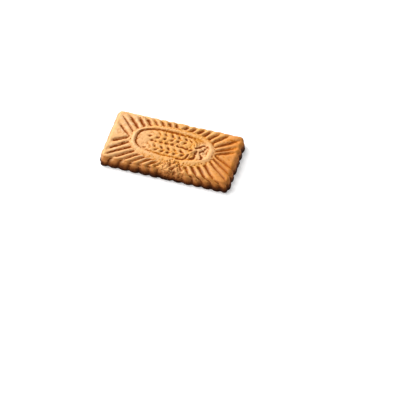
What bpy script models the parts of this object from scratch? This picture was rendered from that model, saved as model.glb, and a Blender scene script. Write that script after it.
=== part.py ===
"""A speculoos: one small pressed spice biscuit, baked flat on its underside.

The dough comes out of a carved mould. Fans of diagonal ribs run from a smooth oval rim out to
the edge and on down the wall, where they end in a scalloped foot. The oval holds a sheaf in low
relief: two ears of grain side by side, a knotted ribbon and the cut stalks.

Metres, +Z up. The origin is at the middle of the underside, and +X runs along the length.
Lengths below are in millimetres, and MM turns them into metres.
"""

import math
import random

import bmesh
import bpy
from mathutils import Matrix, Vector, noise

MM = 0.001

# Overall sizes, at the foot of the wall
LENGTH = 60.0
WIDTH = 30.5
THICKNESS = 5.8
CORNER_RADIUS = 3.0

# The wall and its rounded shoulder. WALL_TURN is the angle above level at which a groove is cut
# where the wall ends, and SHOULDER_TURN the angle where the shoulder does.
FOOT_ROUND = 0.35
WALL_HEIGHT = 3.2
WALL_LEAN = 0.45
WALL_TURN = 10.0
SHOULDER_REACH = 1.9
SHOULDER_TURN = 78.0
SHOULDER_STEPS = 3

# The ribs. In each quarter the grooves are counted from the short end's middle to the long
# side's. The steps between them along the shoulder grow towards the short end, and the pattern's
# middle at the foot lies a little to the right of the biscuit's. A groove keeps its direction over
# the shoulder and turns straight down below it: PLACE_POWER says how late it moves up the wall,
# and DEPTH_POWER how late a notch of the foot turns into a groove.
GROOVES = 9
FOOT_MIDDLE = 3.0
FOOT_SHIFT = 1.4
SHOULDER_STEP = 3.4
PLACE_POWER = 4
DEPTH_POWER = 2
# The three grooves nearest the short end's middle lie as the mould has them: for each quarter, by
# the signs of x and y, their places at the foot and at the shoulder
NEAR_END = {
    (1, 1): ((4.4, 8.9, 13.4), (4.0, 7.3, 11.8)),
    (-1, 1): ((4.8, 8.8, 13.6), (7.2, 13.2, 19.4)),
    (-1, -1): ((3.4, 8.0, 13.5), (5.0, 9.7, 14.7)),
    (1, -1): ((4.4, 8.9, 13.4), (4.4, 8.3, 12.6)),
}
# The others are counted back from the long side's middle: how far from it the last one comes over
# the shoulder, and how fast the steps from there grow
NEAR_MIDDLE = {
    (1, 1): (4.15, 0.01),
    (-1, 1): (1.95, 0.01),
    (-1, -1): (3.8, 0.02),
    (1, -1): (4.15, 0.01),
}
GROOVE_DEPTH = 0.95
# At the back the grooves run out towards the shoulder: how deep they are there, as a share, and
# over how much of a rib they do
BACK_STRENGTH = 0.35
BACK_RUN_OUT = 0.4
NOTCH_DEPTH = 0.6
END_NOTCH = 0.45
RIB_ROUNDNESS = 0.75
RIB_STATIONS = (0.18, 0.5, 0.85)
# On the left the grooves run out before the end, over the last RUN_OUT before MARGIN
MARGIN = 27.8
RUN_OUT = 2.6
# How late a groove runs out under the rim, and how flat the wedges are, as powers
GROOVE_RUN_OUT = 4
END_FLATNESS = 4
MIDDLE_FLATNESS = 3

# Unevenness: how far a rib may be low, a groove off its place, and the crumbled patch in the
# middle of the front, as (x, y, reach, roughness)
RIB_LOW = 0.14
GROOVE_OFF = 0.15
CRUMBLED = (1.0, -13.0, 6.5, 0.35)
CRUMB = 1.1
SEED = 11

# The oval: where the ribs end, the rim round it and the sunken field inside. The rim's outer
# edge is longer on the left, and neither edge is centred on the biscuit. On the right the grooves
# crowd towards the end's middle. Their places are found by walking the edge in RIM_STEPS steps.
RIM_PLACE = (0.5, 0.25)
RIM_RIGHT = (18.7, 10.4)
RIM_LEFT = (20.3, 10.4)
RIM_SQUARENESS = 2.2
CROWDING_RIGHT = 1.2
CROWDING_LEFT = 1.0
FIELD_PLACE = (-0.4, 0.85)
RIM_INNER = (17.0, 7.75)
INNER_SQUARENESS = 2.8
RIM_MIDDLE = 1.5
APEX_HALF = 0.3
RIM_STEPS = 400
RIM_DIP = 0.3
RIM_STATIONS = ((0.35, -0.06), (0.65, 0.0), (0.9, -0.24))
EDGE_STATIONS = ((0.6, -0.58), (1.3, -0.45))

# The sheaf, with its tips towards -X. Places are (x, y) from its own middle. Each ear has its
# axis and where its grains start on the far and on the near side of it. Its stalk is bent between
# its last grains and the knot, STALK_BEND of the way along and across.
SHEAF_PLACE = (-0.1, 0.85)
EARS = ((3.55, -8.9, -9.3), (-3.65, -9.2, -11.2))
EAR_END = 7.5
STALK_BEND = (0.5, 0.4)
GRAIN_PITCH = 3.1
GRAIN_OFFSET = 1.45
GRAIN_SLANT = 34.0
GRAIN_SIZE = (2.05, 1.12, 0.62)
GRAIN_SINK = 0.12
TIP_SIZE = (1.5, 0.9, 0.5)
KNOT = (9.8, -0.2)
KNOT_SIZE = (0.9, 1.2, 0.6)
STALK_LENGTH = 4.6
STALK_TURNS = (-30.0, -8.0, 14.0)
STRAND = 0.55
STRAND_TAPER = 0.6
# Each ribbon is an arc: its centre, radius, and first and last angle
RIBBONS = (
    ((5.0, -2.6), 3.9, -12.0, -92.0),
    ((7.0, -2.1), 3.9, -8.0, -72.0),
    ((12.6, 1.8), 1.5, -160.0, 95.0),
    ((6.4, 0.9), 3.9, 10.0, 78.0),
)

# Faces: columns across a rib and the wedges, and sides and rings of the sheaf's pieces
COLUMNS_PER_RIB = 6
END_COLUMNS = 5
MIDDLE_COLUMNS = 3
LUMP_SIDES = 10
LUMP_RINGS = 6
STRAND_SIDES = 6
SHARP_ANGLE = 40.0

CRUST = (0.64, 0.33, 0.12, 1.0)
CRUST_ROUGHNESS = 0.85

QUARTER = WIDTH / 2 + LENGTH / 2 - CORNER_RADIUS * (2 - math.pi / 2)
FIELD_HEIGHT = THICKNESS + EDGE_STATIONS[-1][1]


def mix(a, b, t):
    return a + (b - a) * t


def at(values, u):
    """The value at u of a list that is read in straight steps between whole numbers."""
    k = min(int(u), len(values) - 2)
    return mix(values[k], values[k + 1], u - k)


def outline_point(s):
    """The foot outline in the quarter where x and y are positive: the point that lies s along it
    from the middle of the short end, and the outward direction there."""
    half_x, half_y, r = LENGTH / 2, WIDTH / 2, CORNER_RADIUS
    side, arc = half_y - r, r * math.pi / 2
    if s <= side:
        return Vector((half_x, s)), Vector((1.0, 0.0))
    if s <= side + arc:
        angle = (s - side) / r
        out = Vector((math.cos(angle), math.sin(angle)))
        return Vector((half_x - r, half_y - r)) + out * r, out
    return Vector((half_x - r - (s - side - arc), half_y)), Vector((0.0, 1.0))


def foot_places(x_sign, y_sign):
    """Distances along the foot outline: the short end's middle, each groove, the long side's."""
    last = QUARTER - FOOT_MIDDLE - FOOT_SHIFT * x_sign
    near = NEAR_END[x_sign, y_sign][0]
    rest = [last * k / GROOVES for k in range(len(near) + 1, GROOVES + 1)]
    return [0.0, *near, *rest, QUARTER]


def shoulder_places(x_sign, y_sign):
    """The same where the grooves come over the shoulder."""
    near = NEAR_END[x_sign, y_sign][1]
    gap, growth = NEAR_MIDDLE[x_sign, y_sign]
    rest = []
    for left in range(GROOVES - len(near) - 1, -1, -1):
        rest.append(QUARTER - gap - SHOULDER_STEP * left - growth * left**3)
    return [0.0, *near, *rest, QUARTER]


def rim_angles(radii, crowding):
    """The same on the rim's outer edge, as angles. The grooves' distances are found by walking
    along it from the end wedge's tip, and they are equal where the crowding is 1."""
    first = math.asin((APEX_HALF / radii[1]) ** (RIM_SQUARENESS / 2))
    last = math.acos((RIM_MIDDLE / radii[0]) ** (RIM_SQUARENESS / 2))
    tries = [mix(first, last, k / RIM_STEPS) for k in range(RIM_STEPS + 1)]
    path = [oval_point(angle, radii, RIM_SQUARENESS) for angle in tries]
    walked = [0.0]
    for here, onward in zip(path, path[1:]):
        walked.append(walked[-1] + (onward - here).length)
    angles = [0.0]
    for groove in range(GROOVES):
        target = walked[-1] * (groove / (GROOVES - 1)) ** crowding
        angles.append(min(zip(walked, tries), key=lambda step: abs(step[0] - target))[1])
    return angles + [math.pi / 2]


def uneven(places, draw):
    """Places with each groove a little off."""
    return [
        s + draw.uniform(-GROOVE_OFF, GROOVE_OFF) if 0 < k < len(places) - 1 else s
        for k, s in enumerate(places)
    ]


def oval_point(angle, radii, squareness):
    power = 2 / squareness
    return Vector((radii[0] * math.cos(angle) ** power, radii[1] * math.sin(angle) ** power))


def rib_height(u):
    """0 in a groove and 1 on top of a rib or a wedge."""
    if u < 1.0:
        return 1 - u**END_FLATNESS
    if u > GROOVES:
        return 1 - (GROOVES + 1 - u) ** MIDDLE_FLATNESS
    return math.sin(math.pi * (u % 1.0)) ** RIB_ROUNDNESS


def tooth_height(u):
    """The same at the foot, where the end wedge has a shallow notch in its middle too."""
    if u < 1.0:
        return max(math.sin(math.pi * u) ** RIB_ROUNDNESS, (1 - END_NOTCH) * (1 - u))
    return rib_height(u)


def wall_rows():
    """Rows of the wall from the underside up: inset from the foot outline, height, and the
    direction in which a groove is cut, in degrees above level."""
    rows = [
        (FOOT_ROUND, 0.0, 0.0),
        (0.0, FOOT_ROUND, 0.0),
        (WALL_LEAN / 2, WALL_HEIGHT / 2, 0.0),
        (WALL_LEAN, WALL_HEIGHT, WALL_TURN),
    ]
    for k in range(1, SHOULDER_STEPS + 1):
        turn = SHOULDER_TURN * k / SHOULDER_STEPS
        inset = WALL_LEAN + SHOULDER_REACH * (1 - math.cos(math.radians(turn)))
        height = mix(WALL_HEIGHT, THICKNESS, math.sin(math.radians(turn)))
        rows.append((inset, height, turn))
    return rows


def strength(x, margin):
    """How strong the grooves are, from 1 down to 0 at the margin."""
    return min(max((margin - x) / RUN_OUT, 0.0), 1.0)


def wall_points(u, foot, shoulder, margin, at_shoulder):
    """One column of points up the wall and over the shoulder."""
    points = []
    top = wall_rows()[-1][1]
    for inset, height, cut in wall_rows():
        share = height / top
        place, out = outline_point(mix(foot, shoulder, share**PLACE_POWER))
        notch, groove = NOTCH_DEPTH * (1 - tooth_height(u)), GROOVE_DEPTH * (1 - rib_height(u))
        depth = mix(notch, groove * at_shoulder * strength(place.x, margin), share**DEPTH_POWER)
        flat = place - out * (inset + depth * math.cos(math.radians(cut)))
        points.append((flat, height - depth * math.sin(math.radians(cut)), 0.0))
    return points


def top_points(u, shoulder, radii, angle, low, margin, at_shoulder):
    """One column of points along a rib, over the rim and down into the field."""
    place, out = outline_point(shoulder)
    start = place - out * wall_rows()[-1][0]
    rim = oval_point(angle, radii, RIM_SQUARENESS)
    edge = oval_point(angle, RIM_INNER, INNER_SQUARENESS)
    depth = mix(GROOVE_DEPTH, low, rib_height(u))
    points = []
    for t in RIB_STATIONS:
        flat = start.lerp(rim, t)
        full = mix(at_shoulder, 1.0, min(t / BACK_RUN_OUT, 1.0))
        low_by = mix(depth * full * strength(flat.x, margin), RIM_DIP, t**GROOVE_RUN_OUT)
        points.append((flat, THICKNESS - low_by, t))
    points.append((rim, THICKNESS - RIM_DIP, 1.0))
    points += [(rim.lerp(edge, t), THICKNESS + rise, 1 + t) for t, rise in RIM_STATIONS]
    for inset, rise in EDGE_STATIONS:
        inside = (RIM_INNER[0] - inset, RIM_INNER[1] - inset)
        points.append((oval_point(angle, inside, INNER_SQUARENESS), THICKNESS + rise, 2.0))
    return points


def crumble(point):
    """The point, roughened where the ribs have crumbled."""
    x, y, reach, roughness = CRUMBLED
    away = math.hypot(point.x - x, point.y - y) / reach
    if away < 1 and point.z > FOOT_ROUND:
        lump = noise.noise(point / CRUMB) * roughness * (1 - away**2)
        point += Vector((0.0, -lump, min(lump, 0.0)))
    return point


def quarter_columns():
    """The values of u in one quarter, without its last one."""
    values = [k / END_COLUMNS for k in range(END_COLUMNS)]
    for groove in range(1, GROOVES):
        values += [groove + k / COLUMNS_PER_RIB for k in range(COLUMNS_PER_RIB)]
    return values + [GROOVES + k / MIDDLE_COLUMNS for k in range(MIDDLE_COLUMNS)]


def quarter(x_sign, y_sign, values, draw):
    """The columns of the quarter that the signs name. Each point of them has its share in the
    shift of the oval: 0 at the shoulder, 1 at the rim's outer edge and 2 in the field."""
    foot = uneven(foot_places(x_sign, y_sign), draw)
    shoulder = uneven(shoulder_places(x_sign, y_sign), draw)
    lows = [0.0] + [draw.uniform(0.0, RIB_LOW) for _ in range(GROOVES - 1)] + [0.0, 0.0]
    radii, crowding, margin = RIM_RIGHT, CROWDING_RIGHT, LENGTH
    if x_sign < 0:
        radii, crowding, margin = RIM_LEFT, CROWDING_LEFT, MARGIN
    at_shoulder = BACK_STRENGTH if y_sign > 0 else 1.0
    angles = rim_angles(radii, crowding)
    places = [Vector((0.0, 0.0)), Vector(RIM_PLACE), Vector(FIELD_PLACE)]
    columns = []
    for u in values:
        over, angle = at(shoulder, u), at(angles, u)
        points = wall_points(u, at(foot, u), over, margin, at_shoulder)
        points += top_points(u, over, radii, angle, lows[int(u)], margin, at_shoulder)
        column = []
        for p, z, share in points:
            flat = Vector((p.x * x_sign, p.y * y_sign)) + at(places, share)
            column.append(crumble(Vector((*flat, z))))
        columns.append(column)
    return columns


def all_columns():
    """Every column, once round anticlockwise from the middle of the right end."""
    draw = random.Random(SEED)
    up = quarter_columns()
    down = [GROOVES + 1] + up[:0:-1]
    columns = quarter(1, 1, up, draw) + quarter(-1, 1, down, draw)
    return columns + quarter(-1, -1, up, draw) + quarter(1, -1, down, draw)


def add_body():
    """The biscuit without its sheaf: the columns joined by faces, closed below and above."""
    bm = bmesh.new()
    grid = [[bm.verts.new(p * MM) for p in points] for points in all_columns()]
    for k, here in enumerate(grid):
        onward = grid[(k + 1) % len(grid)]
        for row in range(len(here) - 1):
            bm.faces.new((here[row], onward[row], onward[row + 1], here[row + 1]))
    bm.faces.new([column[0] for column in reversed(grid)])
    bm.faces.new([column[-1] for column in grid])
    mesh = bpy.data.meshes.new("biscuit")
    bm.to_mesh(mesh)
    bm.free()
    body = bpy.data.objects.new("biscuit", mesh)
    bpy.context.scene.collection.objects.link(body)
    return body


def add_helper(group, bm, name):
    mesh = bpy.data.meshes.new(name)
    bm.to_mesh(mesh)
    bm.free()
    helper = bpy.data.objects.new(name, mesh)
    helper.hide_render = True
    helper.display_type = "WIRE"
    group.objects.link(helper)


def add_lump(group, place, size, slant=0.0):
    """An ellipsoid half sunk in the field, such as a grain or the knot."""
    flat = Vector(place) + Vector(SHEAF_PLACE)
    middle = Vector((*flat, FIELD_HEIGHT - GRAIN_SINK)) * MM
    turn = Matrix.Rotation(math.radians(slant), 4, "Z")
    scale = Matrix.Diagonal((*(length * MM for length in size), 1.0))
    bm = bmesh.new()
    bmesh.ops.create_uvsphere(bm, u_segments=LUMP_SIDES, v_segments=LUMP_RINGS, radius=1.0)
    bmesh.ops.transform(bm, matrix=Matrix.Translation(middle) @ turn @ scale, verts=bm.verts)
    add_helper(group, bm, "lump")


def add_strand(group, places):
    """A round strand half sunk in the field, tapered at both ends."""
    bm = bmesh.new()
    rings = []
    for k, place in enumerate(places):
        before, after = places[max(k - 1, 0)], places[min(k + 1, len(places) - 1)]
        along = (Vector(after) - Vector(before)).normalized()
        across = Vector((-along.y, along.x, 0.0))
        radius = STRAND * (STRAND_TAPER if k in (0, len(places) - 1) else 1.0)
        middle = Vector((*(Vector(place) + Vector(SHEAF_PLACE)), FIELD_HEIGHT))
        ring = []
        for side in range(STRAND_SIDES):
            turn = 2 * math.pi * (side + 0.5) / STRAND_SIDES
            offset = across * math.cos(turn) + Vector((0.0, 0.0, math.sin(turn)))
            ring.append(bm.verts.new((middle + offset * radius) * MM))
        rings.append(ring)
    for here, onward in zip(rings, rings[1:]):
        for side in range(STRAND_SIDES):
            after = (side + 1) % STRAND_SIDES
            bm.faces.new((here[side], here[after], onward[after], onward[side]))
    bm.faces.new(rings[0][::-1])
    bm.faces.new(rings[-1])
    bmesh.ops.recalc_face_normals(bm, faces=bm.faces)
    add_helper(group, bm, "strand")


def arc_places(centre, radius, first, last):
    """Places on an arc, about a millimetre apart."""
    steps = max(3, round(math.radians(abs(last - first)) * radius))
    angles = [math.radians(mix(first, last, k / steps)) for k in range(steps + 1)]
    return [(centre[0] + radius * math.cos(a), centre[1] + radius * math.sin(a)) for a in angles]


def add_ear(group, axis, far, near):
    """Grains slanting away from the ear's axis on both sides, one at its tip, and its stalk."""
    for side, start in ((1, far), (-1, near)):
        for k in range(int((EAR_END - start) / GRAIN_PITCH) + 1):
            place = (start + GRAIN_PITCH * k, axis + side * GRAIN_OFFSET)
            add_lump(group, place, GRAIN_SIZE, -side * GRAIN_SLANT)
    add_lump(group, (far - GRAIN_OFFSET, axis), TIP_SIZE)
    bend = (mix(EAR_END, KNOT[0], STALK_BEND[0]), mix(axis, KNOT[1], STALK_BEND[1]))
    add_strand(group, [(EAR_END, axis), bend, KNOT])


def add_sheaf(group):
    for ear in EARS:
        add_ear(group, *ear)
    add_lump(group, KNOT, KNOT_SIZE)
    for turn in STALK_TURNS:
        along = Vector((math.cos(math.radians(turn)), math.sin(math.radians(turn))))
        end = Vector(KNOT) + along * STALK_LENGTH
        add_strand(group, [KNOT, Vector(KNOT).lerp(end, 0.5), end])
    for ribbon in RIBBONS:
        add_strand(group, arc_places(*ribbon))


def fuse(body, group):
    """Joins the group's objects to the body in one union, and removes them."""
    union = body.modifiers.new("sheaf", "BOOLEAN")
    union.operation = "UNION"
    union.operand_type = "COLLECTION"
    union.collection = group
    graph = bpy.context.evaluated_depsgraph_get()
    fused = bpy.data.meshes.new_from_object(body.evaluated_get(graph))
    plain = body.data
    body.modifiers.clear()
    body.data = fused
    bpy.data.meshes.remove(plain)
    fused.name = "biscuit"
    for helper in list(group.objects):
        bpy.data.meshes.remove(helper.data)
    bpy.data.collections.remove(group)


def crust_material():
    material = bpy.data.materials.new("baked_crust")
    material.use_nodes = True
    shader = material.node_tree.nodes["Principled BSDF"]
    shader.inputs["Base Color"].default_value = CRUST
    shader.inputs["Roughness"].default_value = CRUST_ROUGHNESS
    shader.inputs["Metallic"].default_value = 0.0
    return material


def main():
    for thing in list(bpy.data.objects):
        bpy.data.objects.remove(thing)
    body = add_body()
    group = bpy.data.collections.new("sheaf")
    bpy.context.scene.collection.children.link(group)
    add_sheaf(group)
    fuse(body, group)
    body.data.materials.clear()
    body.data.materials.append(crust_material())
    body.data.shade_smooth()
    body.data.set_sharp_from_angle(angle=math.radians(SHARP_ANGLE))


main()
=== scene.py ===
"""The looks of the speculoos: its baked crust as one fine mesh, a pale floor, light and a camera.

The mesh takes the solid's place. It is worked out from the same sizes, in columns that run from
the underside up the wall, along the ribs and over the rim, with the field and the underside
filled in between. Then it gets its crumb, its pores and its crumbled front. The crust's colours
go by how deep and how high each place lies, and by which way it faces, and so carry painted
shade in the hollows, low on the wall and on the steep sides, and painted highlight on the left.

Metres, +Z up. Lengths below are in millimetres, unless a comment says otherwise, and MM turns
them into metres.
"""

import math
import random

import bpy
import numpy as np
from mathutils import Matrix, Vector, geometry, kdtree, noise


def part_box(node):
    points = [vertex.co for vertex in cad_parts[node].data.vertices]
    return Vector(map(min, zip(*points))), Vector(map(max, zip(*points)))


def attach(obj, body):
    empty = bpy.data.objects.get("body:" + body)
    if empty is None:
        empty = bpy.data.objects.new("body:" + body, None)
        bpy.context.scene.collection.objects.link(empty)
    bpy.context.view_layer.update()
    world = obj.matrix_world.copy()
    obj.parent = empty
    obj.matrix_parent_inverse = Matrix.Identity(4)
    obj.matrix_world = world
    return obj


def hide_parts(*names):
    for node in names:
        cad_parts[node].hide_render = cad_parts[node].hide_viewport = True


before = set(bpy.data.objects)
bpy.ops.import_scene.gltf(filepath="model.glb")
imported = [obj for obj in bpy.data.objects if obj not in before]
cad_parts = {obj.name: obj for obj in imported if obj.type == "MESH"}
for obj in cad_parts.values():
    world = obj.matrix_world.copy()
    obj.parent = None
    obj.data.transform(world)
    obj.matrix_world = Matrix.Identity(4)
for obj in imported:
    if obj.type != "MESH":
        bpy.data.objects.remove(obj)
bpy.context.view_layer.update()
LOW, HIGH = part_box("biscuit")

MM = 0.001
# Farther off than anything on the biscuit
FAR = 99.0

# The solid's overall sizes, and how long a quarter of its foot outline is
LENGTH, WIDTH = round((HIGH.x - LOW.x) / MM, 1), round((HIGH.y - LOW.y) / MM, 1)
THICKNESS = 5.8
CORNER_RADIUS = 3.0
QUARTER = WIDTH / 2 + LENGTH / 2 - CORNER_RADIUS * (2 - math.pi / 2)

# Its wall and the rounded shoulder, which ends SHOULDER_TURN degrees round
FOOT_ROUND = 0.35
WALL_HEIGHT = 3.2
WALL_LEAN = 0.45
SHOULDER_REACH = 1.9
SHOULDER_TURN = 78.0

# Its ribs. In each quarter the grooves are counted from the short end's middle to the long
# side's. At the foot the last one lies FOOT_MIDDLE from that, measured from a place FOOT_SHIFT to
# the right of it. A groove keeps its direction over the shoulder and turns straight down below it:
# PLACE_POWER says how late it moves up the wall, and DEPTH_POWER how late a notch of the foot
# turns into a groove.
GROOVES = 9
FOOT_MIDDLE = 3.0
FOOT_SHIFT = 1.4
SHOULDER_STEP = 3.4
PLACE_POWER = 4
DEPTH_POWER = 2
# The three grooves nearest the short end's middle: for each quarter, by the signs of x and y,
# their places at the foot and at the shoulder
NEAR_END = {
    (1, 1): ((4.4, 8.9, 13.4), (4.0, 7.3, 11.8)),
    (-1, 1): ((4.8, 8.8, 13.6), (7.2, 13.2, 19.4)),
    (-1, -1): ((3.4, 8.0, 13.5), (5.0, 9.7, 14.7)),
    (1, -1): ((4.4, 8.9, 13.4), (4.4, 8.3, 12.6)),
}
# The others are counted back from the long side's middle: how far from it the last one comes over
# the shoulder, and how fast the steps from there grow
NEAR_MIDDLE = {
    (1, 1): (4.15, 0.01),
    (-1, 1): (1.95, 0.01),
    (-1, -1): (3.8, 0.02),
    (1, -1): (4.15, 0.01),
}
GROOVE_DEPTH = 0.95
NOTCH_DEPTH = 0.6
END_NOTCH = 0.45
# On the left the grooves run out before the end, over the last RUN_OUT before MARGIN. At the back
# they run out towards the shoulder: how deep they are there, as a share, and over how much of a
# rib they do.
MARGIN = 27.8
RUN_OUT = 2.6
BACK_STRENGTH = 0.35
BACK_RUN_OUT = 0.4
# How low a rib may be, and how far a groove may be off its place
RIB_LOW = 0.14
GROOVE_OFF = 0.15
SEED = 11

# Its oval: where the ribs end, the rim round it and the sunken field inside. On the right the
# grooves crowd towards the end's middle. Their places are found by walking the edge in RIM_STEPS
# steps, from APEX_HALF beside the end's middle to RIM_MIDDLE beside the long side's.
RIM_PLACE = (0.5, 0.25)
RIM_RIGHT = (18.7, 10.4)
RIM_LEFT = (20.3, 10.4)
RIM_SQUARENESS = 2.2
CROWDING_RIGHT = 1.2
CROWDING_LEFT = 1.0
FIELD_PLACE = (-0.4, 0.85)
RIM_INNER = (17.0, 7.75)
INNER_SQUARENESS = 2.8
RIM_MIDDLE = 1.5
APEX_HALF = 0.3
RIM_STEPS = 400
FIELD_DROP = 0.45

# What the fine mesh adds: how wide the grooves are cut, how much the ribs and the teeth at the
# foot are crowned, and how late a groove runs out under the rim
GROOVE_WIDTH = 0.75
RIB_CROWN = 0.7
TOOTH_CROWN = 0.6
RIM_RUN_OUT = 12
# On the front the ribs dip before they turn down into their teeth: how far, at which angle of the
# shoulder, in degrees, and over how many degrees
VALLEY_DEPTH = 0.35
VALLEY_TURN = 42.0
VALLEY_WIDTH = 13.0
# The rim: how low its outer edge lies, and how far in its crown does, as a share of its width
RIM_DIP = 0.3
CROWN_PLACE = 0.85
# A line is pressed along the rim's foot in the field, on the side where LINE_SIDE points. How far
# in from the rim the foot lies there, and how far elsewhere, and where the columns of points end.
LINE_DEPTH = 0.3
LINE_WIDTH = 0.35
LINE_SIDE = (-0.8, 0.4)
EDGE_INSET = 0.5
SOFT_INSET = 1.1
FIELD_INSET = 1.4

# The sheaf, with its tips towards -X. Places are (x, y) from its own middle. Each ear has its
# axis and where its grains start on the far and on the near side of it. Its stalk is bent between
# its last grains and the knot, STALK_BEND of the way along and across.
SHEAF_PLACE = (-0.1, 0.85)
EARS = ((3.55, -8.9, -9.3), (-3.65, -9.2, -11.2))
EAR_END = 7.5
STALK_BEND = (0.5, 0.4)
GRAIN_PITCH = 3.1
GRAIN_OFFSET = 1.45
GRAIN_SLANT = 34.0
# Reach along, reach across and height of a grain, of the one at the tip, and of the knot
GRAIN_SIZE = (2.05, 1.12, 0.22)
TIP_SIZE = (1.5, 0.9, 0.2)
KNOT_SIZE = (0.9, 1.2, 0.45)
# How much they narrow and rise from their middle to their tip, as shares, and the power that
# rounds them towards their edge
GRAIN_NARROWING = 0.25
GRAIN_RISE = 0.2
GRAIN_ROUNDING = 0.55
KNOT = (9.8, -0.2)
STALK_LENGTH = 4.6
STALK_TURNS = (-30.0, -8.0, 14.0)
# The radius of the stalks and ribbons, and how high they stand, as a share of it
STRAND = 0.55
STRAND_RISE = 0.7
# Each ribbon is an arc: its centre, radius, and first and last angle
RIBBONS = (
    ((5.0, -2.6), 3.9, -12.0, -92.0),
    ((7.0, -2.1), 3.9, -8.0, -72.0),
    ((12.6, 1.8), 1.5, -160.0, 95.0),
    ((6.4, 0.9), 3.9, 10.0, 78.0),
)
ARC_POINTS = 12

# Pits between the grains, in rows: slant, y, and for each pit its x and its share of the depth.
# PIT_SIZE is their reach along and across, and the depth.
PIT_ROWS = (
    (-40.0, 4.8, ((-7.3, 0.3), (-4.4, 0.9), (-1.4, 0.8), (1.6, 0.8), (4.9, 1.0))),
    (25.0, 2.4, ((-11.5, 0.8), (-7.7, 1.0), (-4.2, 1.1), (-1.1, 1.0), (1.6, 0.8), (4.9, 0.8))),
    (0.0, 0.2, ((-9.9, 0.7), (-8.0, 0.4), (-5.5, 0.8), (-2.8, 1.0), (-0.4, 1.0))),
    (-40.0, -2.7, ((-7.8, 0.4), (-4.4, 0.9), (-1.2, 1.0), (1.4, 0.4), (4.6, 0.8))),
    (30.0, -4.8, ((-11.8, 0.7), (-6.7, 1.0), (-3.8, 0.8), (-1.0, 1.0), (1.9, 1.1), (5.5, 1.1))),
)
PIT_SIZE = (0.75, 0.42, 0.9)
# Cuts round the ribbon: how wide, how deep, and a line through points
CUTS = (
    (0.25, 0.35, ((6.5, 4.9), (7.4, 3.9), (8.3, 2.3))),
    (0.38, 0.70, ((2.0, 0.0), (3.0, -0.2), (4.6, 0.0), (6.1, -0.5), (6.8, -0.1))),
    (0.38, 0.60, ((7.8, -0.8), (9.3, -0.4))),
    (0.40, 0.75, ((10.5, 0.9), (11.6, 1.9), (12.9, 3.1), (13.7, 3.1))),
    (0.48, 0.80, ((12.5, -0.9), (13.3, -0.2), (14.0, 0.7), (14.2, 1.7))),
    (0.38, 0.70, ((12.9, -2.0), (13.9, -2.9), (14.4, -3.7), (14.1, -4.7))),
    (0.46, 0.85, ((11.2, -0.8), (10.8, -1.7), (10.7, -3.2), (10.8, -4.8), (9.4, -5.4))),
    (0.42, 0.80, ((8.1, -3.5), (7.9, -4.7), (7.5, -5.8), (6.1, -6.8), (3.8, -7.3))),
)
# The sheaf fades in from the field's edge over this share of the way to the middle
FIELD_FADE = 0.08

# The mesh: distances between its points, and how many rows each stretch of a column has. The
# points of the field and the underside are off their grids by up to GRID_OFF of a step.
COLUMN_STEP = 0.2
FOOT_ROWS = 4
WALL_ROWS = 13
SHOULDER_ROWS = 13
RIB_ROWS = 28
RIM_ROWS = 13
EDGE_ROWS = 8
FIELD_STEP = 0.18
UNDERSIDE_STEP = 0.5
UNDERSIDE_INSET = 1.0
UNDERSIDE_SQUARENESS = 12.0
GRID_OFF = 0.15

# How often the form's points move to the middle of their neighbours, which softens its creases
SOFTENING = 3
# Unevenness of the crust, as (how large, how high), from slow swells down to grain. On the wall
# it is WALL_ROUGHER times as high, and over the shoulder this fades, until WALL_FADE under the top.
SWELLS = ((9.0, 0.12), (3.0, 0.07), (1.2, 0.08), (0.55, 0.07))
WALL_ROUGHER = 1.6
WALL_FADE = 1.0
# How the ribs wander along x and y, also as (how large, how far), and how far aside the noise
# for each of the two is read, so that they differ
WANDER = (3.5, 0.16)
ASIDE = (40.0, 90.0)
# The crumbled patch in the middle of the front, as (x, y, reach, roughness), how large its
# crumbs are, their fractal's dimension, lacunarity and octaves, and how far its ribs are worn away
CRUMBLED = (3.0, -13.4, 8.0, 0.5)
CRUMB = 1.5
CRUMB_FRACTAL = (0.6, 2.2, 3)
ERODED = 0.85
ERODED_ROUNDS = 60
# Pores: how many, how wide and how deep they may be, and how ragged, as a share of the depth
PORES = 300
PORE_SIZE = (0.2, 0.55)
PORE_DEPTH = (0.06, 0.22)
PORE_RAGGED = 0.5

# Where the crust is paler, as (x, y, reach along x, reach along y, how much): the left, where it
# is partly painted highlight, the right end of the field, and the crumbs
PALER = (
    (-24.0, 0.0, 20.0, 22.0, 0.5),
    (14.5, 0.5, 6.5, 8.0, 0.55),
    (3.0, -13.4, 8.0, 5.0, 0.25),
)

# Colours, linear: deep in a groove, on the slope, on top of a rib (darker deep down, partly the
# crust's own colour and partly painted shade), where flour and sugar bloom, with painted highlight,
# painted shade on the left end, on the right, browner with painted shade, on the steep sides,
# partly painted shade, low on the wall and in the gaps between the teeth, painted shade on a darker
# bake, at the foot, a painted shadow on a darker bake, on the underside, and a grain of spice
DEEP = (0.27, 0.052, 0.0015, 1)
SLOPE = (0.62, 0.22, 0.016, 1)
TOP = (0.76, 0.35, 0.08, 1)
BLOOM_AND_HIGHLIGHT = (0.84, 0.54, 0.3, 1)
LEFT_END_SHADE = (0.4, 0.23, 0.12, 1)
BROWNED_AND_SHADED = (0.6, 0.17, 0.012, 1)
SIDE = (0.58, 0.2, 0.045, 1)
BAKED_AND_SHADED = (0.17, 0.04, 0.003, 1)
SHADED_FOOT = (0.035, 0.007, 0.0005, 1)
UNDERSIDE = (0.42, 0.16, 0.035, 1)
SPICE = (0.12, 0.045, 0.015, 1)

# Noise on the crust, as (scale, detail, roughness), and the values that most of it lies between
PATCHES = (160.0, 4.0, 0.6)
SPECKLE = (900.0, 3.0, 0.7)
FINE_GRAIN = (2600.0, 2.0, 0.7)
NOISE_RANGE = (0.3, 0.7)

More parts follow.
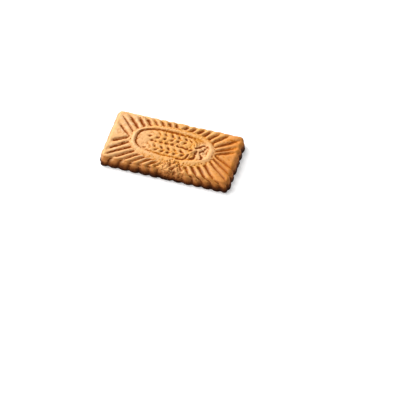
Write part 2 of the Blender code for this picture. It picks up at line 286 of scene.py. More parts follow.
# Depth is measured against the mesh after so many rounds of averaging. A broad hollow counts
# once, a small dent DENT_WEIGHT times, and noise shifts the sum by up to so many millimetres.
# Unevenness is the dents' own size, averaged in turn.
HOLLOW_ROUNDS = 60
DENT_ROUNDS = 8
DENT_WEIGHT = 2.2
SPECKLE_SHIFT = 0.1
PATCHES_SHIFT = 0.08
UNEVENNESS_ROUNDS = 40
# Noise shifts the height by up to so many metres
HEIGHT_SHIFT = 0.0006

# Ramps: from which value to which, and what they give at the two, if that isn't 0 and 1. Over
# the depth, for the colours, the painted shade in the gaps between the teeth, the bloom and
# painted highlight, and the paler places:
SLOPE_DEPTH = (-0.15, 0.15)
DEEP_DEPTH = (0.03, 0.38)
GAP_SHADE_DEPTH = (-0.03, 0.35)
BLOOM_AND_HIGHLIGHT_DEPTH = (0.1, -0.1)
PALER_DEPTH = (0.32, 0.05)
# over the unevenness
BLOOM_AND_HIGHLIGHT_UNEVENNESS = (0.09, 0.03)
# over x, in metres. The first says how much more the depth counts on the right, which deepens the
# painted shade in the grooves there.
DEPTH_X = (0.008, 0.022, 1.0, 1.6)
BLOOM_AND_HIGHLIGHT_X = (-0.002, -0.02, 0.45, 1.0)
BROWNED_AND_SHADED_X = (0.014, 0.028, 0.0, 0.6)
# over the height, in metres
BAKED_AND_SHADED_HEIGHT = (0.0043, 0.0018)
SHADED_FOOT_HEIGHT = (0.0026, 0.0005)
# over how far the surface faces up or right, from -1 to 1
GAP_SHADE_UPWARD = (0.8, 0.3, 0.0, 0.9)
SIDE_UPWARD = (0.95, 0.45, 0.0, 0.9)
UNDERSIDE_UPWARD = (-0.5, -0.9)
LEFT_END_SHADE_RIGHTWARD = (-0.25, -0.8, 0.0, 0.85)
# and over the noise
BLOOM_AND_HIGHLIGHT_PATCHES = (0.35, 0.6, 0.3, 1.0)
BLOOM_AND_HIGHLIGHT_SPECKLE = (0.35, 0.6, 0.6, 1.0)
UNDERSIDE_PATCHES = (0.4, 0.65, 0.0, 0.6)

# Grains of spice: the scale of their cells, ramps over the distance from a cell's middle and over
# its random value, which make them small and rare, and how strong they are
SPICE_SCALE = 620.0
SPICE_DISTANCE = (0.24, 0.14)
SPICE_RARITY = (0.84, 0.86)
SPICE_SHARE = 0.6

# The surface: its roughness over NOISE_RANGE, its gloss, and its bump, in metres
ROUGHNESS = (0.55, 0.8)
SPECULAR = 0.07
BUMP_STRENGTH = 0.8
BUMP_DISTANCE = 0.00025
BUMP_SPECKLE = 0.7
BUMP_FINE_GRAIN = 0.3

# The floor, with sizes in metres, the lamps, as (name, azimuth, elevation, size, power), in
# degrees, metres and watts, and the sky
WHITE = (1, 1, 1, 1)
FLOOR_COLOUR = (0.86, 0.86, 0.86, 1)
FLOOR_ROUGHNESS = 0.9
FLOOR_GLOW = 0.3
FLOOR_RADIUS = 2.5
FLOOR_SIDES = 64
LAMPS = (
    ("low_key", -120.0, 18.0, 0.3, 8.0),
    ("high_key", -122.0, 58.0, 0.5, 7.0),
    ("top", 180.0, 75.0, 0.6, 3.0),
    ("left_fill", -66.0, 14.0, 0.35, 5.5),
)
LAMP_DISTANCE = 1.0
SKY = 0.06

# The camera, from the photograph: its angles in degrees, its distance in metres, how much of the
# biscuit's plane the frame takes in, and where the origin lies in it
AZIMUTH = 17.6
ELEVATION = 49.0
DISTANCE = 1.0
FRAME_WIDTH = 177.0
FRAME_PIXELS = 400
ORIGIN_PIXEL = (173.3, 154.1)


def mix(a, b, t):
    return a + (b - a) * t


def smooth_step(x):
    x = np.clip(x, 0.0, 1.0)
    return x * x * (3 - 2 * x)


def within(away):
    """1 in the inner half of a patch, falling to 0 at its edge, where away is 1."""
    return smooth_step(2 * (1 - away))


def at(values, u):
    """The values at u of a list that is read in straight steps between whole numbers."""
    return np.interp(u, range(len(values)), values)


def steps(end, count):
    """So many equal steps from 0 to the end, without the 0."""
    return np.linspace(0, end, count + 1)[1:]


# ------------------------------------------------------------------ the form


def outline(s):
    """Points of the foot outline in the quarter where x and y are positive, at distances s from
    the middle of the short end, and the outward directions there."""
    side, arc = WIDTH / 2 - CORNER_RADIUS, CORNER_RADIUS * math.pi / 2
    angle = np.clip((s - side) / CORNER_RADIUS, 0, math.pi / 2)
    out = np.stack((np.cos(angle), np.sin(angle)), -1)
    points = np.array((LENGTH / 2, WIDTH / 2)) - CORNER_RADIUS + out * CORNER_RADIUS
    points[..., 1] += np.minimum(s - side, 0)
    points[..., 0] -= np.maximum(s - side - arc, 0)
    return points, out


def foot_places(x_sign, y_sign):
    """Distances along the foot outline: the short end's middle, each groove, the long side's."""
    last = QUARTER - FOOT_MIDDLE - FOOT_SHIFT * x_sign
    near = NEAR_END[x_sign, y_sign][0]
    rest = [last * k / GROOVES for k in range(len(near) + 1, GROOVES + 1)]
    return [0.0, *near, *rest, QUARTER]


def shoulder_places(x_sign, y_sign):
    """The same where the grooves come over the shoulder."""
    near = NEAR_END[x_sign, y_sign][1]
    gap_shade, growth = NEAR_MIDDLE[x_sign, y_sign]
    rest = []
    for left in range(GROOVES - len(near) - 1, -1, -1):
        rest.append(QUARTER - gap_shade - SHOULDER_STEP * left - growth * left**3)
    return [0.0, *near, *rest, QUARTER]


def rim_angles(radii, crowding):
    """The same on the rim's outer edge, as angles. The grooves' distances are found by walking
    along it from the end wedge's tip, and they are equal where the crowding is 1."""
    first = math.asin((APEX_HALF / radii[1]) ** (RIM_SQUARENESS / 2))
    last = math.acos((RIM_MIDDLE / radii[0]) ** (RIM_SQUARENESS / 2))
    angles = np.linspace(first, last, RIM_STEPS + 1)
    lengths = np.linalg.norm(np.diff(oval(angles, radii, RIM_SQUARENESS), axis=0), axis=1)
    walked = np.concatenate(([0.0], np.cumsum(lengths)))
    targets = walked[-1] * (np.arange(GROOVES) / (GROOVES - 1)) ** crowding
    return np.array([0.0, *np.interp(targets, walked, angles), math.pi / 2])


def uneven(places, draw):
    """Places with each groove a little off."""
    return [
        s + draw.uniform(-GROOVE_OFF, GROOVE_OFF) if 0 < k < len(places) - 1 else s
        for k, s in enumerate(places)
    ]


def oval(angle, radii, squareness):
    power = 2 / squareness
    return np.stack((radii[0] * np.cos(angle) ** power, radii[1] * np.sin(angle) ** power), -1)


def rib_height(u, pitch, crown):
    """0 in a groove and up to 1 on top of a rib or a wedge. The pitch is how far apart the
    grooves are here, so that they are equally wide everywhere."""
    k = np.minimum(u.astype(int), GROOVES)
    share = u - k
    before = np.where(k > 0, share * pitch, FAR)
    after = np.where(k < GROOVES, (1 - share) * pitch, FAR)
    cut = np.exp(-((np.minimum(before, after) / GROOVE_WIDTH) ** 2))
    between = (k > 0) & (k < GROOVES)
    return (1 - cut) * (1 - crown * between * (2 * share - 1) ** 2)


def tooth_height(u, pitch):
    """The same at the foot, where the end wedge has a shallow notch in its middle too."""
    notch = END_NOTCH * np.exp(-((u * pitch / GROOVE_WIDTH) ** 2))
    return rib_height(u, pitch, TOOTH_CROWN) * (1 - notch * (u < 1))


def strength(x, margin):
    """How strong the grooves are, from 1 down to 0 at the margin."""
    return smooth_step((margin - x) / RUN_OUT)


def wall_rows():
    """Rows of the wall from the underside up: inset from the foot outline, height, and the
    direction in which a groove is cut, in radians above level."""
    turn = np.linspace(0, math.pi / 2, FOOT_ROWS, endpoint=False)
    foot = np.stack((FOOT_ROUND * (1 - np.sin(turn)), FOOT_ROUND * (1 - np.cos(turn)), 0 * turn))
    up = np.linspace(0, 1, WALL_ROWS, endpoint=False)
    wall = np.stack((WALL_LEAN * up, mix(FOOT_ROUND, WALL_HEIGHT, up), 0 * up))
    turn = np.linspace(0, math.radians(SHOULDER_TURN), SHOULDER_ROWS)
    inset = WALL_LEAN + SHOULDER_REACH * (1 - np.cos(turn))
    shoulder = np.stack((inset, mix(WALL_HEIGHT, THICKNESS, np.sin(turn)), turn))
    return np.concatenate((foot, wall, shoulder), 1)


class Quarter:
    """One quarter of the biscuit up to its field, worked out where x and y are positive. Its
    columns run from the short end's middle if onward is true, or else towards it. A column's u is
    0 at that middle, 1 at the first groove, and so on to the long side's middle."""

    def __init__(self, x_sign, y_sign, onward, draw):
        self.x_sign, self.y_sign = x_sign, y_sign
        self.foot = uneven(foot_places(x_sign, y_sign), draw)
        self.shoulder = uneven(shoulder_places(x_sign, y_sign), draw)
        lows = [0.0] + [draw.uniform(0.0, RIB_LOW) for _ in range(GROOVES - 1)] + [0.0, 0.0]
        self.radii, crowding, self.margin = RIM_RIGHT, CROWDING_RIGHT, LENGTH
        if x_sign < 0:
            self.radii, crowding, self.margin = RIM_LEFT, CROWDING_LEFT, MARGIN
        self.angles = rim_angles(self.radii, crowding)
        self.at_shoulder = BACK_STRENGTH if y_sign > 0 else 1.0

        widths = np.maximum(np.diff(self.foot), np.diff(self.shoulder))
        counts = np.round(widths / COLUMN_STEP).astype(int)
        u = np.concatenate([k + np.arange(count) / count for k, count in enumerate(counts)])
        if not onward:
            u = np.concatenate(([GROOVES + 1.0], u[:0:-1]))
        self.u = u[:, None]
        self.rib = np.minimum(u.astype(int), GROOVES)
        self.low = np.array(lows)[self.rib][:, None]
        self.angle = at(self.angles, u)
        self.rim_edge = oval(self.angle, self.radii, RIM_SQUARENESS)

    def pitch(self, places):
        """How far apart the grooves at these places are on each column's rib."""
        return np.diff(places)[self.rib][:, None]

    def wall(self):
        """Rows from the underside up the wall and over the shoulder."""
        inset, height, cut = wall_rows()
        share = height / height[-1]
        way = mix(at(self.foot, self.u), at(self.shoulder, self.u), share**PLACE_POWER)
        place, out = outline(way)
        notch = NOTCH_DEPTH * (1 - tooth_height(self.u, self.pitch(self.foot)))
        crowned = rib_height(self.u, self.pitch(self.shoulder), RIB_CROWN)
        groove = mix(GROOVE_DEPTH, self.low * share, crowned)
        groove = groove * self.at_shoulder * strength(place[..., 0], self.margin)
        depth = mix(notch, groove, share**DEPTH_POWER)
        if self.y_sign < 0:
            valley = np.exp(-(((np.degrees(cut) - VALLEY_TURN) / VALLEY_WIDTH) ** 2))
            depth += VALLEY_DEPTH * valley * out[..., 1] ** 2
        flat = place - out * (inset + depth * np.cos(cut))[..., None]
        return np.dstack((flat, height - depth * np.sin(cut)))

    def ribs(self):
        """Rows from the shoulder to the rim's outer edge."""
        place, out = outline(at(self.shoulder, self.u[:, 0]))
        start = place - out * wall_rows()[0][-1]
        t = steps(1, RIB_ROWS)
        at_rim = self.pitch(self.angles * (self.radii[0] + self.radii[1]) / 2)
        pitch = mix(self.pitch(self.shoulder), at_rim, t)
        depth = mix(GROOVE_DEPTH, self.low, rib_height(self.u, pitch, RIB_CROWN))
        flat = mix(start[:, None], self.rim_edge[:, None], t[:, None])
        run_out = mix(self.at_shoulder, 1.0, np.minimum(t / BACK_RUN_OUT, 1))
        depth *= strength(flat[..., 0], self.margin) * run_out
        return np.dstack((flat, THICKNESS - mix(depth, RIM_DIP, t**RIM_RUN_OUT)))

    def rim(self):
        """Rows over the rim and on down into the field."""
        inner_edge = oval(self.angle, RIM_INNER, INNER_SQUARENESS)
        band, insets = steps(1, RIM_ROWS), steps(FIELD_INSET, EDGE_ROWS)
        rings = [mix(self.rim_edge, inner_edge, s) for s in band]
        for inset in insets:
            inside = (RIM_INNER[0] - inset, RIM_INNER[1] - inset)
            rings.append(oval(self.angle, inside, INNER_SQUARENESS))
        width = np.linalg.norm(inner_edge - self.rim_edge, axis=1)[:, None]
        along = np.concatenate((width * band, width + insets), 1)
        side = inner_edge / RIM_INNER * (self.x_sign, self.y_sign) @ LINE_SIDE
        height = THICKNESS + rim_profile(along, width, smooth_step(side)[:, None])
        return np.dstack((np.stack(rings, 1), height))

    def points(self):
        """Columns of points from the underside to the field. The rim and the field aren't centred
        on the biscuit, so the rows move over to their places on the way."""
        wall = self.wall()
        points = np.concatenate((wall, self.ribs(), self.rim()), 1)
        on_wall, in_field = np.zeros(wall.shape[1]), np.full(EDGE_ROWS, 2.0)
        way = np.concatenate((on_wall, steps(1, RIB_ROWS), 1 + steps(1, RIM_ROWS), in_field))
        for axis, sign in enumerate((self.x_sign, self.y_sign)):
            middle = at((0.0, RIM_PLACE[axis], FIELD_PLACE[axis]), way)
            points[..., axis] = points[..., axis] * sign + middle
        return points


def rim_profile(along, width, pressed):
    """Height over the rim, from its outer edge over its crown and down to the field. Pressed says
    how strong the line at its foot is, from 0 to 1."""
    crown, bottom = width * CROWN_PLACE, width + mix(SOFT_INSET, EDGE_INSET, pressed)
    up = mix(-RIM_DIP, 0.0, smooth_step(along / crown))
    down = mix(0.0, -FIELD_DROP, smooth_step((along - crown) / (bottom - crown)))
    line = LINE_DEPTH * pressed * np.exp(-(((along - bottom) / LINE_WIDTH) ** 2))
    return up + down - line


def grid_inside(radii, squareness, step, draw):
    """Places in a triangular grid inside an oval, each a little off."""
    places = []
    row_share = math.sqrt(3) / 2
    rows = int(radii[1] / (step * row_share))
    for row in range(-rows, rows + 1):
        y = row * step * row_share
        half = radii[0] * max(0.0, 1 - abs(y / radii[1]) ** squareness) ** (1 / squareness)
        count = int(half / step)
        for k in range(-count, count + 1):
            off = (draw.uniform(-GRID_OFF, GRID_OFF), draw.uniform(-GRID_OFF, GRID_OFF))
            places.append(((k + row % 2 / 2 + off[0]) * step, y + off[1] * step))
    return np.array(places)


# ------------------------------------------------------------------ the sheaf


def turned(x, y, place, slant):
    """Coordinates along and across a thing at a place."""
    c, s = math.cos(math.radians(slant)), math.sin(math.radians(slant))
    dx, dy = x - place[0], y - place[1]
    return dx * c + dy * s, dy * c - dx * s


def grain(x, y, place, size, slant):
    """Height of one grain above the field. Its tip, on the left, is narrower and higher."""
    p, q = turned(x, y, place, slant)
    p, q = p / size[0], q / size[1]
    r = p**2 + (q * (1 - GRAIN_NARROWING * p)) ** 2
    return size[2] * np.maximum(0.0, 1 - r) ** GRAIN_ROUNDING * (1 - GRAIN_RISE * p)


def pit(x, y, place, size, slant):
    p, q = turned(x, y, place, slant)
    return size[2] * np.exp(-((p / size[0]) ** 2) - (q / size[1]) ** 2)


def line_distance(x, y, points):
    """How far places are from a line through points."""
    best = np.full_like(x, FAR)
    for (ax, ay), (bx, by) in zip(points, points[1:]):
        dx, dy = bx - ax, by - ay
        t = np.clip(((x - ax) * dx + (y - ay) * dy) / (dx * dx + dy * dy), 0, 1)
        best = np.minimum(best, np.hypot(x - ax - t * dx, y - ay - t * dy))
    return best


def arc_places(centre, radius, first, last):
    angles = np.radians(np.linspace(first, last, ARC_POINTS))
    return [(centre[0] + radius * math.cos(a), centre[1] + radius * math.sin(a)) for a in angles]


def strand(x, y, points):
    """Height of a stalk or a ribbon that runs through points."""
    across = line_distance(x, y, points) / STRAND
    return STRAND_RISE * STRAND * np.sqrt(np.maximum(0.0, 1 - across**2))


def sheaf(x, y):
    """Height of the sheaf above the field, with the pits and cuts beside its pieces."""
    pieces = [np.zeros_like(x), grain(x, y, KNOT, KNOT_SIZE, 0.0)]
    for axis, far, near in EARS:
        for side, start in ((1, far), (-1, near)):
            for k in range(int((EAR_END - start) / GRAIN_PITCH) + 1):
                place = (start + GRAIN_PITCH * k, axis + side * GRAIN_OFFSET)
                pieces.append(grain(x, y, place, GRAIN_SIZE, -side * GRAIN_SLANT))
        pieces.append(grain(x, y, (far - GRAIN_OFFSET, axis), TIP_SIZE, 0.0))
        bend = (mix(EAR_END, KNOT[0], STALK_BEND[0]), mix(axis, KNOT[1], STALK_BEND[1]))
        pieces.append(strand(x, y, [(EAR_END, axis), bend, KNOT]))
    for turn in STALK_TURNS:
        a = math.radians(turn)
        end = (KNOT[0] + STALK_LENGTH * math.cos(a), KNOT[1] + STALK_LENGTH * math.sin(a))
        pieces.append(strand(x, y, [KNOT, end]))
    pieces += [strand(x, y, arc_places(*ribbon)) for ribbon in RIBBONS]
    height = np.maximum.reduce(pieces)
    for slant, row, pits in PIT_ROWS:
        for place, depth in pits:
            height -= depth * pit(x, y, (place, row), PIT_SIZE, slant)
    for width, depth, points in CUTS:
        height -= depth * np.exp(-((line_distance(x, y, points) / width) ** 2))
    return height


def depth_inside(x, y, radii):
    """How far inside the field's oval places are: 0 on it and 1 in the middle."""
    p, q = np.abs((x - FIELD_PLACE[0]) / radii[0]), np.abs((y - FIELD_PLACE[1]) / radii[1])
    return 1 - (p**INNER_SQUARENESS + q**INNER_SQUARENESS) ** (1 / INNER_SQUARENESS)


def relief(x, y):
    """Height of the sheaf where it lies in the field. Its cuts run on up the rim's inner side."""
    height = sheaf(x - SHEAF_PLACE[0], y - SHEAF_PLACE[1])
    edge = (RIM_INNER[0] - FIELD_INSET, RIM_INNER[1] - FIELD_INSET)
    raised = np.maximum(height, 0) * smooth_step(depth_inside(x, y, edge) / FIELD_FADE)
    cut = np.minimum(height, 0) * smooth_step(depth_inside(x, y, RIM_INNER) / FIELD_FADE)
    return raised + cut


# ------------------------------------------------------------------ the mesh


def filled(points, ring, inner):
    """Triangles over a closed ring of the points, given by their numbers, and over the inner
    points, whose numbers follow on from the points' own."""
    places = [Vector(p) for p in (*points[ring, :2], *inner[:, :2])]
    numbers = [*ring, *range(len(points), len(points) + len(inner))]
    outline_face = [list(range(len(ring)))]
    inside_only, same_place = 1, 1e-7
    made = geometry.delaunay_2d_cdt(places, [], outline_face, inside_only, same_place)
    order = [numbers[origins[0]] for origins in made[3]]
    return [[order[k] for k in face] for face in made[2]]


def crust_mesh():
    """The biscuit's smooth form as one closed mesh."""
    draw = random.Random(SEED)
    quarters = ((1, 1, True), (-1, 1, False), (-1, -1, True), (1, -1, False))
    columns = np.concatenate([Quarter(*kind, draw).points() for kind in quarters])
    count, rows = columns.shape[:2]
    points = columns.reshape(-1, 3)
    faces = []
    for k in range(count):
        here, onward = k * rows, (k + 1) % count * rows
        faces += [(here + r, onward + r, onward + r + 1, here + r + 1) for r in range(rows - 1)]

    radii = (RIM_INNER[0] - FIELD_INSET - FIELD_STEP, RIM_INNER[1] - FIELD_INSET - FIELD_STEP)
    field = grid_inside(radii, INNER_SQUARENESS, FIELD_STEP, draw) + FIELD_PLACE
    field = np.column_stack((field, THICKNESS - FIELD_DROP + relief(*field.T)))
    points[:, 2] += relief(*points[:, :2].T) * (points[:, 2] > WALL_HEIGHT)
    faces += filled(points, range(rows - 1, count * rows, rows), field)
    points = np.concatenate((points, field))

    radii = (LENGTH / 2 - UNDERSIDE_INSET, WIDTH / 2 - UNDERSIDE_INSET)
    under = grid_inside(radii, UNDERSIDE_SQUARENESS, UNDERSIDE_STEP, draw)
    under = np.column_stack((under, np.zeros(len(under))))
    faces += [face[::-1] for face in filled(points, range(0, count * rows, rows), under)]
    points = np.concatenate((points, under))

    mesh = bpy.data.meshes.new("crust")
    mesh.from_pydata((points * MM).tolist(), [], faces)
    mesh.validate()
    mesh.shade_smooth()
    return mesh


# ------------------------------------------------------------------ crumb and pores


def roughen(mesh):
    """Pushes the mesh's points about: ribs that wander, swells and grain, a crumbled patch in
    the middle of the front, and pores. The underside stays flat but for its pores. Returns the
    points, in millimetres."""
    points = np.empty(len(mesh.vertices) * 3)
    mesh.vertices.foreach_get("co", points)
    points = points.reshape(-1, 3) / MM
    normals = point_normals(mesh)
    lift = smooth_step(points[:, 2] / (2 * FOOT_ROUND))
    wall = 1 - smooth_step((points[:, 2] - WALL_HEIGHT) / (THICKNESS - WALL_FADE - WALL_HEIGHT))
    points = mix(points, smoothed(mesh, points, SOFTENING), lift[:, None])
    scale, reach = WANDER
    wander = np.stack([noise_at(points, scale, aside) for aside in ASIDE], 1)
    push = np.zeros(len(points))
    for scale, height in SWELLS:
        push += height * noise_at(points, scale)
    push *= 1 + (WALL_ROUGHER - 1) * wall
    x, y, patch, roughness = CRUMBLED
    away = np.hypot(points[:, 0] - x, points[:, 1] - y) / patch
    crumbly = within(away)
    for k in np.nonzero(away < 1)[0]:
        lump = noise.fractal(Vector(points[k]) / CRUMB, *CRUMB_FRACTAL)
        push[k] += lump * roughness * crumbly[k]
    eroded = smoothed(mesh, points, ERODED_ROUNDS)
    points = mix(points, eroded, (ERODED * crumbly * lift)[:, None])
    points += normals * (push * lift)[:, None]
    points[:, :2] += wander * reach * lift[:, None]
    dig_pores(points, normals)
    mesh.vertices.foreach_set("co", (points * MM).ravel())
    mesh.update()
    return points


def noise_at(points, scale, aside=0.0):
    """Noise of the given size at each point, the same in every run."""
    off = Vector((aside, aside, 0.0))
    return np.array([noise.noise(Vector(p) / scale + off) for p in points])


def dig_pores(points, normals):
    """Sinks small ragged hollows into the crust, at random places all round it."""
    draw = random.Random(SEED)
    tree = kdtree.KDTree(len(points))
    for k, point in enumerate(points):
        tree.insert(point, k)
    tree.balance()
    for _ in range(PORES):
        x, y = draw.uniform(-LENGTH / 2, LENGTH / 2), draw.uniform(-WIDTH / 2, WIDTH / 2)
        middle = tree.find((x, y, draw.uniform(0, THICKNESS)))[0]
        size, depth = draw.uniform(*PORE_SIZE), draw.uniform(*PORE_DEPTH)
        for place, k, away in tree.find_range(middle, size):
            ragged = 1 + PORE_RAGGED * noise.noise(place / size)
            points[k] -= normals[k] * depth * ragged * (1 - (away / size) ** 2) ** 2


def point_normals(mesh):
    normals = np.empty(len(mesh.vertices) * 3)
    mesh.vertex_normals.foreach_get("vector", normals)
    return normals.reshape(-1, 3)


def smoothed(mesh, values, rounds):
    """Values at the mesh's points, each replaced by its neighbours' average so many times."""
    edges = np.empty(len(mesh.edges) * 2, int)
    mesh.edges.foreach_get("vertices", edges)
    a, b = edges[::2], edges[1::2]
    ends, others = np.concatenate((a, b)), np.concatenate((b, a))
    number = np.bincount(ends, minlength=len(values))[:, None]
    for _ in range(rounds):
        sums = [np.bincount(ends, column, len(values)) for column in values[others].T]
        values = np.stack(sums, 1) / number
    return values


def hollows(mesh, points, rounds):
    """How far each point lies under its smoothed surroundings, in millimetres."""
    return ((smoothed(mesh, points, rounds) - points) * point_normals(mesh)).sum(1)


def pale(points):
    """How much paler the crust is at each point; on the left it is partly painted highlight."""
    most = np.zeros(len(points))
    for x, y, along, across, share in PALER:
        away = np.hypot((points[:, 0] - x) / along, (points[:, 1] - y) / across)
        most = np.maximum(most, share * within(away))
    return most


def keep(mesh, name, values):
    """Keeps a value at each of the mesh's points, for the material to read."""
    layer = mesh.attributes.new(name, "FLOAT", "POINT")
    layer.data.foreach_set("value", values.astype(np.float32))


# ------------------------------------------------------------------ the material


class Nodes:
    """Short ways to add shader nodes and join them."""

    def __init__(self, material):
        material.use_nodes = True
        self.tree = material.node_tree
        self.shader = self.tree.nodes["Principled BSDF"]

    def fill(self, node, inputs):
        """Joins each named input of a node to a socket, or sets it to a plain value."""
        for name, value in inputs.items():
            if isinstance(value, bpy.types.NodeSocket):
                self.tree.links.new(value, node.inputs[name])
            else:
                node.inputs[name].default_value = value

    def add(self, kind, inputs=None, **settings):
        node = self.tree.nodes.new("ShaderNode" + kind)
        for name, value in settings.items():
            setattr(node, name, value)
        self.fill(node, inputs or {})
        return node

    def kept(self, name):
        """What the mesh keeps at its points under this name."""
        return self.add("Attribute", attribute_name=name).outputs["Fac"]

    def noise(self, where, scale, detail, rough):
        inputs = {"Vector": where, "Scale": scale, "Detail": detail, "Roughness": rough}
        return self.add("TexNoise", inputs).outputs["Fac"]

    def ramp(self, value, low, high, to_low=0.0, to_high=1.0):
        inputs = {"Value": value, "From Min": low, "From Max": high}
        inputs.update({"To Min": to_low, "To Max": to_high})
        return self.add("MapRange", inputs, interpolation_type="SMOOTHSTEP").outputs["Result"]

    def math(self, operation, first, *others):
        """One operation over two values or more, from the first on."""
        for other in others:
            first = self.add("Math", {0: first, 1: other}, operation=operation).outputs[0]
        return first

    def mixed(self, share, a, b):
        """A mix of two colours. The node has sockets for other kinds of value before theirs."""
        return self.add("Mix", {0: share, 6: a, 7: b}, data_type="RGBA").outputs[2]


def crust_colour(n, where, normal, patches, speckle):
    """The crust's colour, from what is kept at the mesh's points, its place and its facing."""
    place = n.add("SeparateXYZ", {0: where}).outputs
    facing = n.add("SeparateXYZ", {0: normal}).outputs
    length, height = place["X"], place["Z"]
    rightward, upward = facing["X"], facing["Z"]

    # How deep each place lies. The gaps between the teeth are both deep and steep, and get painted
    # shade on a darker bake.
    depth = n.math(
        "ADD",
        n.kept("hollow"),
        n.math("MULTIPLY", n.kept("dent"), DENT_WEIGHT),
        n.ramp(speckle, *NOISE_RANGE, -SPECKLE_SHIFT, SPECKLE_SHIFT),
        n.ramp(patches, *NOISE_RANGE, -PATCHES_SHIFT, PATCHES_SHIFT),
    )
    gap_shade = n.math("MULTIPLY", n.ramp(depth, *GAP_SHADE_DEPTH), n.ramp(upward, *GAP_SHADE_UPWARD))
    # More painted shade in the grooves on the right
    depth = n.math("MULTIPLY", depth, n.ramp(length, *DEPTH_X))

    # From the tops of the ribs down into the grooves, darker deep down: partly the crust's own
    # colour, partly painted shade
    colour = n.mixed(n.ramp(depth, *SLOPE_DEPTH), TOP, SLOPE)
    colour = n.mixed(n.ramp(depth, *DEEP_DEPTH), colour, DEEP)

    # Bloom on high and smooth places, partly painted highlight, more of it on the left where the
    # light falls strongest, and the paler places, painted highlight on the left
    bloom_and_highlight = n.math(
        "MULTIPLY",
        n.ramp(depth, *BLOOM_AND_HIGHLIGHT_DEPTH),
        n.ramp(n.kept("unevenness"), *BLOOM_AND_HIGHLIGHT_UNEVENNESS),
        n.ramp(patches, *BLOOM_AND_HIGHLIGHT_PATCHES),
        n.ramp(speckle, *BLOOM_AND_HIGHLIGHT_SPECKLE),
        n.ramp(length, *BLOOM_AND_HIGHLIGHT_X),
    )
    paler = n.math("MULTIPLY", n.kept("pale"), n.ramp(depth, *PALER_DEPTH))
    colour = n.mixed(n.math("MAXIMUM", bloom_and_highlight, paler), colour, BLOOM_AND_HIGHLIGHT)

    # Browner on the right, partly painted shade for the dimmer light there; darker on the steep
    # sides, partly painted shade; and painted shade on the left end, which faces the key lamps
    # Browner on the right, partly painted shade
    colour = n.mixed(n.ramp(length, *BROWNED_AND_SHADED_X), colour, BROWNED_AND_SHADED)
    # Darker on the steep sides, partly a browner bake and partly painted shade
    colour = n.mixed(n.ramp(upward, *SIDE_UPWARD), colour, SIDE)
    # Painted shade on the left end, which faces the key lamps
    colour = n.mixed(n.ramp(rightward, *LEFT_END_SHADE_RIGHTWARD), colour, LEFT_END_SHADE)

    # Grains of spice
    cells = n.add("TexVoronoi", {"Vector": where, "Scale": SPICE_SCALE}, feature="F1").outputs
    small = n.ramp(cells["Distance"], *SPICE_DISTANCE)
    rare = n.ramp(cells["Color"], *SPICE_RARITY)
    colour = n.mixed(n.math("MULTIPLY", small, rare, SPICE_SHARE), colour, SPICE)

    # Painted shade, on a darker bake, in the gaps and low on the wall; a painted shadow, on a
    # darker bake, at the foot; and the underside's own brown
    # Painted shade, on a darker bake, in the gaps between the teeth
    colour = n.mixed(gap_shade, colour, BAKED_AND_SHADED)
    low = n.math("ADD", height, n.ramp(patches, *NOISE_RANGE, -HEIGHT_SHIFT, HEIGHT_SHIFT))
    # Painted shade low on the wall, on a darker bake
    colour = n.mixed(n.ramp(low, *BAKED_AND_SHADED_HEIGHT), colour, BAKED_AND_SHADED)
    # A painted shadow at the foot, on a darker bake
    colour = n.mixed(n.ramp(low, *SHADED_FOOT_HEIGHT), colour, SHADED_FOOT)
    under = n.mixed(n.ramp(patches, *UNDERSIDE_PATCHES), UNDERSIDE, BAKED_AND_SHADED)
    return n.mixed(n.ramp(upward, *UNDERSIDE_UPWARD), colour, under)


def crust_material():
    material = bpy.data.materials.new("baked_crust")
    n = Nodes(material)
    surface = n.add("TexCoord").outputs
    where = surface["Object"]
    patches, speckle, fine = [n.noise(where, *kind) for kind in (PATCHES, SPECKLE, FINE_GRAIN)]
    coarse_bump = n.math("MULTIPLY", speckle, BUMP_SPECKLE)
    fine_bump = n.math("MULTIPLY", fine, BUMP_FINE_GRAIN)
    bump = {
        "Height": n.math("ADD", coarse_bump, fine_bump),
        "Strength": BUMP_STRENGTH,
        "Distance": BUMP_DISTANCE,
    }
    finish = {
        "Base Color": crust_colour(n, where, surface["Normal"], patches, speckle),
        "Roughness": n.ramp(speckle, *NOISE_RANGE, *ROUGHNESS),
        "Specular IOR Level": SPECULAR,
        "Normal": n.add("Bump", bump).outputs["Normal"],
    }
    n.fill(n.shader, finish)
    return material


def add_crust():
    """The crust in the solid's place, with what its material reads kept at its points."""
    crust = bpy.data.objects.new("biscuit_crust", crust_mesh())
    bpy.context.scene.collection.objects.link(crust)
    mesh = crust.data
    points = roughen(mesh)
    dents = hollows(mesh, points, DENT_ROUNDS)
    keep(mesh, "dent", dents)
    keep(mesh, "hollow", hollows(mesh, points, HOLLOW_ROUNDS))
    keep(mesh, "unevenness", smoothed(mesh, np.abs(dents)[:, None], UNEVENNESS_ROUNDS)[:, 0])
    keep(mesh, "pale", pale(points))
    mesh.materials.append(crust_material())
    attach(crust, "root")
    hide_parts("biscuit")


# ------------------------------------------------------------------ floor, light and camera


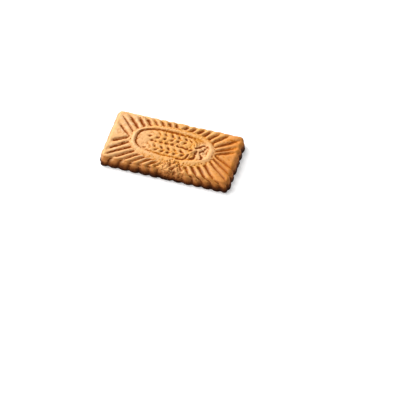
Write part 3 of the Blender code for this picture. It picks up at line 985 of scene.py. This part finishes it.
def add_floor():
    bpy.ops.mesh.primitive_circle_add(vertices=FLOOR_SIDES, radius=FLOOR_RADIUS, fill_type="NGON")
    floor = bpy.context.object
    floor.name = "floor"
    material = bpy.data.materials.new("pale_floor")
    n = Nodes(material)
    finish = {"Base Color": FLOOR_COLOUR, "Roughness": FLOOR_ROUGHNESS}
    finish.update({"Emission Color": WHITE, "Emission Strength": FLOOR_GLOW})
    n.fill(n.shader, finish)
    floor.data.materials.append(material)


def direction(azimuth, elevation):
    """Unit vector towards a viewer or a lamp. Azimuth 0 is in front, at -Y, and 90 at +X."""
    a, e = math.radians(azimuth), math.radians(elevation)
    return Vector((math.sin(a) * math.cos(e), -math.cos(a) * math.cos(e), math.sin(e)))


def aimed(name, data, place, aim):
    """A lamp or a camera that looks from its place at its aim."""
    thing = bpy.data.objects.new(name, data)
    bpy.context.scene.collection.objects.link(thing)
    thing.location = place
    thing.rotation_mode = "QUATERNION"
    thing.rotation_quaternion = (place - aim).to_track_quat("Z", "Y")
    return thing


def add_light():
    for name, azimuth, elevation, size, power in LAMPS:
        data = bpy.data.lights.new(name, "AREA")
        data.shape = "DISK"
        data.size = size
        data.energy = power
        aimed(name, data, direction(azimuth, elevation) * LAMP_DISTANCE, Vector())
    world = bpy.data.worlds.new("studio")
    world.use_nodes = True
    background = world.node_tree.nodes["Background"]
    background.inputs["Color"].default_value = WHITE
    background.inputs["Strength"].default_value = SKY
    bpy.context.scene.world = world
    bpy.context.scene.view_settings.view_transform = "Standard"


def add_camera():
    """A long lens that looks past the biscuit, so that it lies in the frame as in the photo."""
    back = direction(AZIMUTH, ELEVATION)
    right = Vector((math.cos(math.radians(AZIMUTH)), math.sin(math.radians(AZIMUTH)), 0))
    up = back.cross(right)
    pixel = FRAME_WIDTH / FRAME_PIXELS * MM
    off = Vector((FRAME_PIXELS / 2 - ORIGIN_PIXEL[0], ORIGIN_PIXEL[1] - FRAME_PIXELS / 2))
    aim = right * off.x * pixel + up * off.y * pixel
    data = bpy.data.cameras.new("camera")
    data.lens = data.sensor_width * DISTANCE / (FRAME_WIDTH * MM)
    bpy.context.scene.camera = aimed("camera", data, back * DISTANCE, aim)


add_crust()
add_floor()
add_light()
add_camera()
